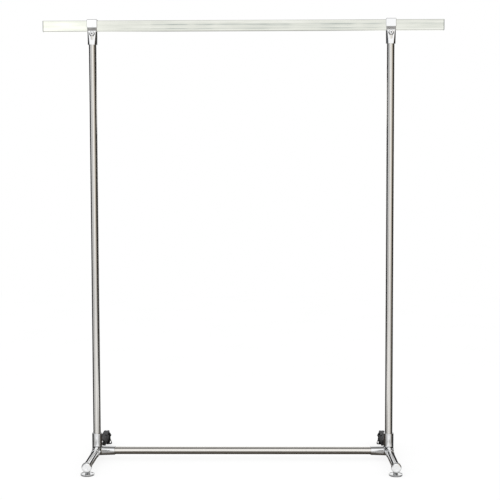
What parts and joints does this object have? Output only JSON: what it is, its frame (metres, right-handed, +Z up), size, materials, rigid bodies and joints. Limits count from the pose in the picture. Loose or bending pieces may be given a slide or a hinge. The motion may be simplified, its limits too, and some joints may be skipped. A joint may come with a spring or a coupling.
{
  "type": "rolling clothes rack",
  "caption": "Free-standing clothes rack: a flat rectangular hanging rail on two round uprights, with levelling feet at the front and small braked castors at the back.",
  "frame": {"origin": "on the floor, midway between the two uprights and in their plane", "axes": "+Z up, the front with the levelling feet faces -Y, +X to the viewer's right as seen from the front"},
  "size_m": [1.5, 0.5366, 1.6675],
  "materials": {
    "polished_steel": "mirror-polished stainless rectangular tube",
    "satin_steel": "satin stainless tube with fine grain along its length",
    "chrome_casting": "bright chrome plate on a zinc die casting",
    "chrome_tube": "bright chrome-plated tube",
    "chrome_fastener": "bright plated screw head",
    "zinc_fastener": "zinc-plated steel fastener",
    "grey_plastic": "light grey moulded end plug",
    "black_nylon": "black moulded nylon, lightly grained",
    "black_enamel": "black stove-enamelled pressed steel",
    "castor_tyre": "black castor tread",
    "rubber_sole": "black rubber foot sole"
  },
  "bodies": {
    "frame": {"top_rail": "polished_steel", "crossbar": "satin_steel", "rail_end_plug_left": "grey_plastic", "upright_left": "satin_steel", "rail_bracket_left": "chrome_casting", "pinch_screw_left": "chrome_fastener", "pinch_nut_left": "zinc_fastener", "base_connector_left": "chrome_casting", "upright_set_screw_left": "zinc_fastener", "crossbar_set_screw_left": "zinc_fastener", "front_leg_set_screw_left": "zinc_fastener", "rear_leg_set_screw_left": "zinc_fastener", "front_leg_left": "chrome_tube", "front_leg_cap_left": "chrome_casting", "foot_bush_left": "zinc_fastener", "foot_lock_nut_left": "zinc_fastener", "rear_leg_left": "chrome_tube", "castor_mount_left": "black_nylon", "castor_race_left": "zinc_fastener", "castor_rivet_left": "zinc_fastener", "rail_end_plug_right": "grey_plastic", "upright_right": "satin_steel", "rail_bracket_right": "chrome_casting", "pinch_screw_right": "chrome_fastener", "pinch_nut_right": "zinc_fastener", "base_connector_right": "chrome_casting", "upright_set_screw_right": "zinc_fastener", "crossbar_set_screw_right": "zinc_fastener", "front_leg_set_screw_right": "zinc_fastener", "rear_leg_set_screw_right": "zinc_fastener", "front_leg_right": "chrome_tube", "front_leg_cap_right": "chrome_casting", "foot_bush_right": "zinc_fastener", "foot_lock_nut_right": "zinc_fastener", "rear_leg_right": "chrome_tube", "castor_mount_right": "black_nylon", "castor_race_right": "zinc_fastener", "castor_rivet_right": "zinc_fastener"},
    "foot_left": {"foot_pad_left": "chrome_casting", "foot_sole_left": "rubber_sole"},
    "foot_stem_left": {"foot_stem_left": "zinc_fastener"},
    "castor_left": {"castor_fork_left": "black_enamel", "castor_axle_left": "zinc_fastener", "brake_pin_left": "zinc_fastener"},
    "wheel_left": {"castor_hub_left": "black_nylon", "castor_tyre_left": "castor_tyre"},
    "brake_left": {"brake_pedal_left": "black_nylon"},
    "foot_right": {"foot_pad_right": "chrome_casting", "foot_sole_right": "rubber_sole"},
    "foot_stem_right": {"foot_stem_right": "zinc_fastener"},
    "castor_right": {"castor_fork_right": "black_enamel", "castor_axle_right": "zinc_fastener", "brake_pin_right": "zinc_fastener"},
    "wheel_right": {"castor_hub_right": "black_nylon", "castor_tyre_right": "castor_tyre"},
    "brake_right": {"brake_pedal_right": "black_nylon"}
  },
  "joints": [
    {"name": "foot_height_left", "type": "slide", "parent": "frame", "child": "foot_left", "axis": [0, 0, -1], "range_m": [-0.0025, 0.008]},
    {"name": "foot_thread_left", "type": "hinge", "parent": "foot_left", "child": "foot_stem_left", "pos_m": [-0.558, -0.238, 0.02], "axis": [0, 0, -1], "range_deg": [-721, 2305]},
    {"name": "castor_swivel_left", "type": "hinge", "parent": "frame", "child": "castor_left", "pos_m": [-0.558, 0.258, 0.04], "axis": [0, 0, 1], "continuous": true},
    {"name": "wheel_spin_left", "type": "hinge", "parent": "castor_left", "child": "wheel_left", "pos_m": [-0.5537, 0.2468, 0.0185], "axis": [0.9336, 0.3584, 0], "continuous": true},
    {"name": "brake_press_left", "type": "hinge", "parent": "castor_left", "child": "brake_left", "pos_m": [-0.54868, 0.23373, 0.0375], "axis": [0.9336, 0.3584, 0], "range_deg": [0, 7.5]},
    {"name": "foot_height_right", "type": "slide", "parent": "frame", "child": "foot_right", "axis": [0, 0, -1], "range_m": [-0.0025, 0.008]},
    {"name": "foot_thread_right", "type": "hinge", "parent": "foot_right", "child": "foot_stem_right", "pos_m": [0.558, -0.238, 0.02], "axis": [0, 0, -1], "range_deg": [-721, 2305]},
    {"name": "castor_swivel_right", "type": "hinge", "parent": "frame", "child": "castor_right", "pos_m": [0.558, 0.258, 0.04], "axis": [0, 0, 1], "continuous": true},
    {"name": "wheel_spin_right", "type": "hinge", "parent": "castor_right", "child": "wheel_right", "pos_m": [0.55449, 0.24652, 0.0185], "axis": [0.9563, -0.2924, 0], "continuous": true},
    {"name": "brake_press_right", "type": "hinge", "parent": "castor_right", "child": "brake_right", "pos_m": [0.5504, 0.23314, 0.0375], "axis": [0.9563, -0.2924, 0], "range_deg": [0, 7.5]}
  ],
  "couplings": [
    {"joint": "foot_thread_left", "follows": "foot_height_left", "rad_per_m": 5026.5},
    {"joint": "foot_thread_right", "follows": "foot_height_right", "rad_per_m": 5026.5}
  ]
}
